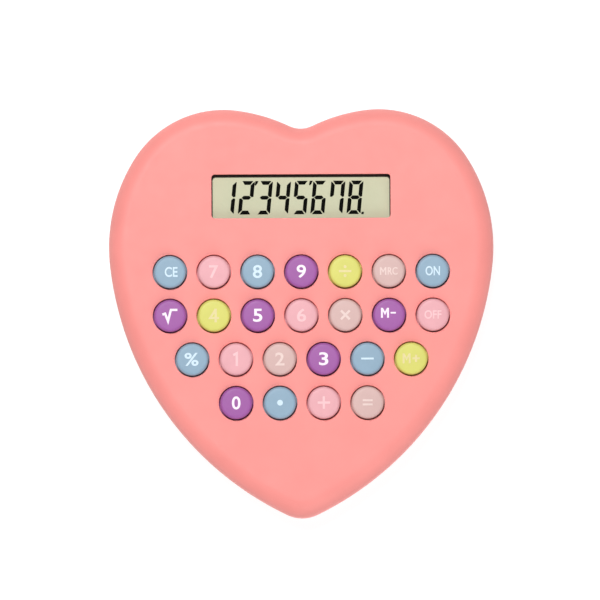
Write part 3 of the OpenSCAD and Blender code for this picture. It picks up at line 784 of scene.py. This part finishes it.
def lettering(text, width, height, place, body, finish, name):
    """Letters as a thin raised mesh, fitted to a width and height on top of a key."""
    curve = bpy.data.curves.new(name, "FONT")
    curve.body = text
    curve.offset = 0.018
    curve.extrude = 0.5
    curve.resolution_u = 6
    writing = bpy.data.objects.new(name, curve)
    bpy.context.scene.collection.objects.link(writing)
    bpy.context.view_layer.update()
    evaluated = writing.evaluated_get(bpy.context.evaluated_depsgraph_get())
    mesh = bpy.data.meshes.new_from_object(evaluated)
    bpy.data.objects.remove(writing)
    points = np.empty(len(mesh.vertices) * 3, np.float32)
    mesh.vertices.foreach_get("co", points)
    points = points.reshape(-1, 3)
    points -= (points.min(0) + points.max(0)) / 2
    points *= np.array([width, height, 4 * INK]) / np.ptp(points, axis=0)
    points += [*place, CAP_TOP - INK]
    mesh.vertices.foreach_set("co", points.ravel())
    mesh.update()
    mesh.materials.append(finish)
    piece = bpy.data.objects.new(name, mesh)
    bpy.context.scene.collection.objects.link(piece)
    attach(piece, body)
    print(f"{name}: {len(mesh.polygons)} faces")


# %% Print the keys
LETTERS = {
    "ce": ("CE", 4.0, 3.15, 0.4), "on": ("ON", 4.5, 2.95, 0), "off": ("OFF", 5.3, 2.7, 0),
    "mrc": ("RC", 3.1, 2.4, 1.15), "percent": ("%", 4.4, 4.1, -0.2), "0": ("0", 2.7, 4.1, 0),
    **{digit: (digit, 2.9, 4.1, 0) for digit in "2356789"},
}
for name, (text, width, height, aside) in LETTERS.items():
    place = PLACE["key_" + name] + [aside * MM, 0]
    lettering(text, width * MM, height * MM, place, "key_" + name,
              PRINT_FINISH[KEY_COLOUR[name]], "print_" + name)
LOWER = 0.15  # how much thinner each further band of a sign is, as a part of the ink
for name, outlines in signs().items():
    place = PLACE["key_" + name]
    layers = [prism(place + outline * MM, CAP_TOP - 3 * INK, CAP_TOP + (1 - LOWER * k) * INK)
              for k, outline in enumerate(outlines)]
    make_piece("sign_" + name, layers, PRINT_FINISH[KEY_COLOUR[name]],
               "key_" + name)

# %% [markdown]
# ## The display
# A segment display is two sheets of glass with a polarising film on each side, and the segments
# turn dark where they are switched on. Behind the clear window the film looks a pale greenish grey.
# The segments could be a pattern in the film's material, but real edges stay sharp from any
# distance, so each is a thin solid with mitred ends, sheared to the slant of the figures.

# %% The shapes of the seven segments
DIGIT_W, DIGIT_H = 4.4, 10.45
SEGMENT_T = 1.2
SEGMENT_OUT = 0.03 * MM  # how far a segment stands out of the film
MITRE = 0.13
SLANT = math.tan(math.radians(5.6))


def segment_outlines():
    """The outline of each segment, a to g, in millimetres from the digit's lower left corner."""
    w, h, t, m = DIGIT_W, DIGIT_H, SEGMENT_T, MITRE
    cut, mid = 0.38, h / 2
    top = np.array([[m + cut, h], [w - m - cut, h], [w - t - m, h - t], [t + m, h - t]])
    side = np.array([
        [w, h - m - cut], [w, mid + 0.3], [w - t / 2, mid + m], [w - t, mid + t / 2 + m],
        [w - t, h - t - m], [w - m, h - m - 0.1]])
    bar = np.array([[t / 2 + m, mid], [t + m, mid + t / 2], [w - t - m, mid + t / 2],
                    [w - t / 2 - m, mid], [w - t - m, mid - t / 2], [t + m, mid - t / 2]])
    across = np.array([w, 0]) + [-1, 1] * side
    low_side, bottom, low_across = ([0, h] + [1, -1] * shape for shape in (side, top, across))
    return {"a": top, "b": side, "c": low_side, "d": bottom, "e": low_across, "f": across,
            "g": bar}


LIT = {"1": "bc", "2": "abged", "3": "abgcd", "4": "fgbc", "5": "afgcd", "6": "afgcde",
       "7": "abcf", "8": "abcdefg"}
DIGIT_PITCH = 5.65
FIRST_DIGIT = np.array([-25.4, 30.85])
FILM_Z = high("lcd_front_polariser")[2]


def slanted(outline, digit):
    """The outline sheared by its height, and moved to its digit's place."""
    sheared = outline + np.outer(outline[:, 1], [SLANT, 0])
    return (sheared + FIRST_DIGIT + [digit * DIGIT_PITCH, 0]) * MM


def display_marks():
    """Every lit segment, the two marks that group thousands and the decimal point."""
    shapes = segment_outlines()
    outlines = [slanted(shapes[s], k) for k, figure in enumerate("12345678") for s in LIT[figure]]
    mark = np.array([[4.56, 10.45], [5.5, 10.45], [5.15, 9.5], [4.7, 8.95], [4.42, 9.25]])
    point = np.array([[4.62, -0.05], [5.4, -0.05], [5.4, 0.7], [4.68, 0.7]])
    outlines += [slanted(mark, 1), slanted(mark, 4), slanted(point, 7)]
    return [prism(outline, FILM_Z - 0.01 * MM, FILM_Z + SEGMENT_OUT) for outline in outlines]


SEGMENT_INK = moulded("segment_ink", srgb(6, 6, 4), 0.6, 2 * MM, 0.2 * MM, 0.001 * MM,
                      drift=0.2, shine=0.02)
make_piece("display_digits", display_marks(), SEGMENT_INK, "case")

# %% [markdown]
# ## Finishes of the carried-over parts
# The window, the films and glasses, the board and what is soldered to it, the screws, the cell and
# its contacts keep their model shapes. What each needs is its own finish: nickel with faint clouds
# in colour and gloss, a green solder mask over copper tracks, a ribbed rubber connector, a brushed
# can.

# %% Clear and filmed parts
def clear(name, colour, alpha, rough):
    """A clear part: mostly see-through, with a gloss that a trace of wiping marks breaks up."""
    finish = Finish(name)
    finish.colour(finish.clouds(8 * MM), (0.3, tinted(colour, 0.97)), (0.7, colour))
    finish.roughness(finish.clouds(6 * MM, 5.0, finish.stretched(1, 6, 1)), rough, rough + 0.05)
    finish.bump(finish.clouds(3 * MM), 0.002 * MM)
    finish.set(Alpha=alpha, IOR=1.49)
    return finish.material


CLEAR_WINDOW = clear("clear_window", srgb(40, 42, 38), 0.05, 0.03)
LCD_GLASS = clear("lcd_glass", srgb(214, 224, 214), 0.35, 0.05)

LCD_FILM = Finish("lcd_film")
LCD_FILM.colour(LCD_FILM.clouds(9 * MM), (0.3, srgb(218, 219, 184)), (0.7, srgb(223, 224, 190)))
LCD_FILM.roughness(LCD_FILM.clouds(2 * MM), 0.5, 0.58)
LCD_FILM.bump(LCD_FILM.clouds(0.12 * MM), 0.002 * MM)

WHITE_PLASTIC = moulded("white_plastic", srgb(226, 225, 220), 0.5)
BLACK_EPOXY = moulded("black_epoxy", srgb(24, 24, 26), 0.22, 1.5 * MM, 0.3 * MM, 0.02 * MM,
                      0.15)
MAT_RUBBER = moulded("mat_rubber", srgb(222, 219, 212), 0.6, 5 * MM, 0.15 * MM, 0.01 * MM)
CAPACITOR = moulded("capacitor_brown", srgb(196, 142, 76), 0.45, 0.8 * MM, 0.1 * MM,
                    0.01 * MM, 0.08)
LEAD_RED = moulded("lead_red", srgb(196, 40, 36), 0.4, 2 * MM, 0.1 * MM, 0.004 * MM)
LEAD_BLACK = moulded("lead_black", srgb(30, 30, 32), 0.4, 2 * MM, 0.1 * MM, 0.004 * MM, 0.15)
# The window gasket is dark foam, and its near-black is also painted shade: it stands in for the
# shadow that the window's top edge throws on the display.
GASKET_FOAM_AND_PAINTED_SHADE = moulded("gasket_foam_and_painted_shade", srgb(44, 32, 27), 0.85, 1 * MM, 0.12 * MM, 0.03 * MM, 0.2)

# %% Ribbed rubber, board and resistor
DARK_RUBBER = Finish("zebra_rubber")
layers = DARK_RUBBER.clouds(0.5 * MM, 0.0, DARK_RUBBER.stretched(1, 0.01, 0.01))
DARK_RUBBER.colour(layers, (0.45, srgb(34, 34, 36)), (0.55, srgb(196, 190, 180)))
DARK_RUBBER.roughness(layers, 0.6, 0.75)
DARK_RUBBER.bump(layers, 0.01 * MM)

BOARD = Finish("board_green")
tracks = BOARD.cells(3.5 * MM)
BOARD.colour(tracks, (0.12, srgb(46, 112, 66)), (0.2, srgb(30, 86, 50)),
             (0.6, srgb(26, 78, 46)))
BOARD.roughness(BOARD.clouds(4 * MM), 0.25, 0.38)
BOARD.bump(tracks, 0.02 * MM)

RESISTOR = Finish("resistor_tan")
bands = RESISTOR.clouds(1.4 * MM, 0.0, RESISTOR.stretched(1, 0.01, 0.01))
RESISTOR.colour(bands, (0.4, srgb(206, 182, 140)), (0.5, srgb(122, 62, 40)),
                (0.6, srgb(210, 186, 146)))
RESISTOR.roughness(RESISTOR.clouds(1 * MM), 0.35, 0.5)
RESISTOR.bump(RESISTOR.clouds(0.3 * MM), 0.01 * MM)


# %% Metals
def metal(name, colour, rough, place_scale=(1, 1, 1), grain=0.12 * MM):
    """Plated or brushed metal: faint streaks in colour and gloss."""
    finish = Finish(name)
    streaks = finish.clouds(grain, 2.0, finish.stretched(*place_scale))
    finish.colour(streaks, (0.3, tinted(colour, 0.9)), (0.7, colour))
    finish.roughness(streaks, rough, rough + 0.14)
    finish.bump(streaks, 0.003 * MM)
    finish.set(Metallic=1.0)
    return finish.material


SCREW_STEEL = metal("screw_steel", srgb(206, 206, 208), 0.24)
CELL_STEEL = metal("cell_steel", srgb(214, 214, 214), 0.2, (0.06, 1, 1))
CONTACT_BRASS = metal("contact_brass", srgb(226, 196, 128), 0.25, (1, 0.1, 1))

# %% Give each carried-over part its finish
# The window gasket takes the dark foam finish above, which is partly painted shade under the
# window's top edge.
CARRIED_OVER = {
    "display_lens": CLEAR_WINDOW, "lcd_front_polariser": LCD_FILM.material,
    "lcd_rear_polariser": LCD_FILM.material, "lcd_front_glass": LCD_GLASS,
    "lcd_rear_glass": LCD_GLASS, "lcd_frame": WHITE_PLASTIC,
    "zebra_strip": DARK_RUBBER.material, "window_gasket": GASKET_FOAM_AND_PAINTED_SHADE,
    "main_board": BOARD.material, "chip_blob": BLACK_EPOXY, "capacitors": CAPACITOR,
    "resistor": RESISTOR.material, "board_screws": SCREW_STEEL, "case_screws": SCREW_STEEL,
    "battery_cell": CELL_STEEL, "contact_positive": CONTACT_BRASS,
    "contact_negative": CONTACT_BRASS, "lead_positive": LEAD_RED, "lead_negative": LEAD_BLACK,
}
for node, finish in CARRIED_OVER.items():
    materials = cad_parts[node].data.materials
    materials.clear()
    materials.append(finish)
    print(node, "->", finish.name)

# %% [markdown]
# ## The rubber mat
# Under the keys lies one silicone sheet with a hollow spring dome under every key. The dome folds
# as its key goes down, so it can't be part of the stiff sheet. Each dome is its own piece with a
# mesh of its own, riding on the case.

# %% Make the mat
MAT_LOW = low("rubber_mat")[2]
SHEET_Z = MAT_LOW + 1 * MM
DOME_TOP = high("rubber_mat")[2]
MAT_INSET = 7.8 * MM
BOSS_ROOM = 4.3 * MM  # clear radius round a case screw
OPENING_R = 3.7 * MM


def mat_outline():
    """The heart moved inwards, cut off level above and below, and notched at the side screws.

    x is read off the right side at each y, but in the notch it is the screw's own x less half
    of the notch's chord there, sqrt(room^2 - dy^2). No three points lie on one straight line.
    """
    right = heart_loop(MAT_INSET)[:sum(ARC_STEPS[:4])]
    ends = np.array([low("rubber_mat")[1], high("rubber_mat")[1]])
    screw = max(SCREWS, key=lambda place: place[0])
    y = right[:, 1]
    plain = y[(y > ends[0]) & (y < ends[1]) & (abs(y - screw[1]) > BOSS_ROOM)]
    rise = 0.97 * BOSS_ROOM * np.linspace(-1, 1, 17)
    side = np.sort(np.concatenate([ends, plain]))
    edge = np.column_stack([np.interp(side, y, right[:, 0]), side])
    notch = np.column_stack([screw[0] - np.sqrt(BOSS_ROOM ** 2 - rise ** 2), screw[1] + rise])
    edge = np.concatenate([edge[side < screw[1]], notch, edge[side > screw[1]]])
    return np.concatenate([edge, (edge * [-1, 1])[::-1]])


def mat_sheet():
    """Top, bottom, outer edge, and a round opening under every key."""
    edge = mat_outline()
    openings = [circle_loop(PLACE[key], OPENING_R, 48) for key in KEYS]
    wall = [[OPENING_R, MAT_LOW], [OPENING_R, SHEET_Z]]
    walls = [revolved(PLACE[key], wall, 48) for key in KEYS]
    return [plate(edge, openings, SHEET_Z), plate(edge, openings, MAT_LOW),
            stacked([edge, edge], [MAT_LOW, SHEET_Z]), *walls]


DOME_H = DOME_TOP - SHEET_Z
PAD_R, PAD_ROUND = 3 * MM, 0.2 * MM
outside = np.array([[3.75, 0], [4.6, 0], [4.5, 0.25], [3.1, 2.3], [3, 2.6]]) * MM
pad = arc((PAD_R - PAD_ROUND, DOME_H - PAD_ROUND), PAD_ROUND, 0, 90, 4)
hollow = np.array([[0, 1.9], [2.2, 1.9], [2.4, 1.7], [3.75, 0]]) * MM
DOME = np.concatenate([outside, pad, [[0, DOME_H]], hollow]) + [0, SHEET_Z]

make_piece("mat_sheet", mat_sheet(), MAT_RUBBER, "case", ["rubber_mat"])
for key in KEYS:
    dome = make_piece(key.replace("key_", "dome_"), [revolved(PLACE[key], DOME, 40)],
                      MAT_RUBBER, "case", ["rubber_mat"])
    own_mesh(dome)

# %% [markdown]
# ## Camera, light and floor
# The calculator is seen from almost straight above through a long lens, three degrees towards
# the user. The high lamp stands beyond the display, so that each key throws a thin dark crescent
# on its near side. The wide near lamp, low down by the user, lights the lower rim. The floor is a
# pale sheet that glows a little of its own, so that the case hardly casts a shadow.

# %% The camera
VIEW_WIDTH = 187.032 * MM  # how much of the face's level the view takes in
CAMERA_AWAY = 4  # metres from what it aims at
TILT = math.radians(3)
ROLL = math.radians(-0.27)
AIM = np.array([-0.45 * MM, 3.94 * MM, FACE_Z])

lens = bpy.data.cameras.new("camera")
lens.lens = CAMERA_AWAY * lens.sensor_width / VIEW_WIDTH
camera = bpy.data.objects.new("camera", lens)
camera.location = AIM + CAMERA_AWAY * np.array(
    [math.sin(ROLL) * math.sin(TILT), -math.cos(ROLL) * math.sin(TILT), math.cos(TILT)])
camera.rotation_euler = (TILT, 0, ROLL)
bpy.context.scene.collection.objects.link(camera)
bpy.context.scene.camera = camera
print("lens:", round(lens.lens, 1), "mm")


# %% Lamps, sky and floor
def soft_lamp(name, place, size, power):
    """A square lamp that faces the middle of the calculator."""
    lamp = bpy.data.lights.new(name, "AREA")
    lamp.size = size
    lamp.energy = power
    holder = bpy.data.objects.new(name, lamp)
    holder.location = place
    towards = -holder.location
    holder.rotation_euler = towards.to_track_quat("-Z", "Y").to_euler()
    bpy.context.scene.collection.objects.link(holder)


soft_lamp("high_lamp", place=(-0.16, 0.42, 1.12), size=0.3, power=10.6)
soft_lamp("near_lamp", place=(0.28, -0.85, 0.6), size=0.8, power=4.4)

sky = bpy.data.worlds.new("sky")
sky.use_nodes = True
sky.node_tree.nodes["Background"].inputs["Color"].default_value = (1, 1, 1, 1)
sky.node_tree.nodes["Background"].inputs["Strength"].default_value = 0.2
bpy.context.scene.world = sky
bpy.context.scene.view_settings.view_transform = "Standard"


def floor():
    """A large pale sheet under the feet, softly lit from within."""
    finish = Finish("floor")
    finish.colour(finish.clouds(0.2), (0.3, srgb(128, 128, 128)), (0.7, srgb(132, 132, 132)))
    finish.roughness(finish.clouds(0.05), 0.6, 0.7)
    finish.set(Emission_Color=(1, 1, 1, 1), Emission_Strength=0.88)
    mesh = bpy.data.meshes.new("floor")
    half = 3.0
    corners = [[-half, -half, 0], [half, -half, 0], [half, half, 0], [-half, half, 0]]
    mesh.from_pydata(corners, [], [[0, 1, 2, 3]])
    mesh.materials.append(finish.material)
    sheet = bpy.data.objects.new("floor", mesh)
    bpy.context.scene.collection.objects.link(sheet)


floor()
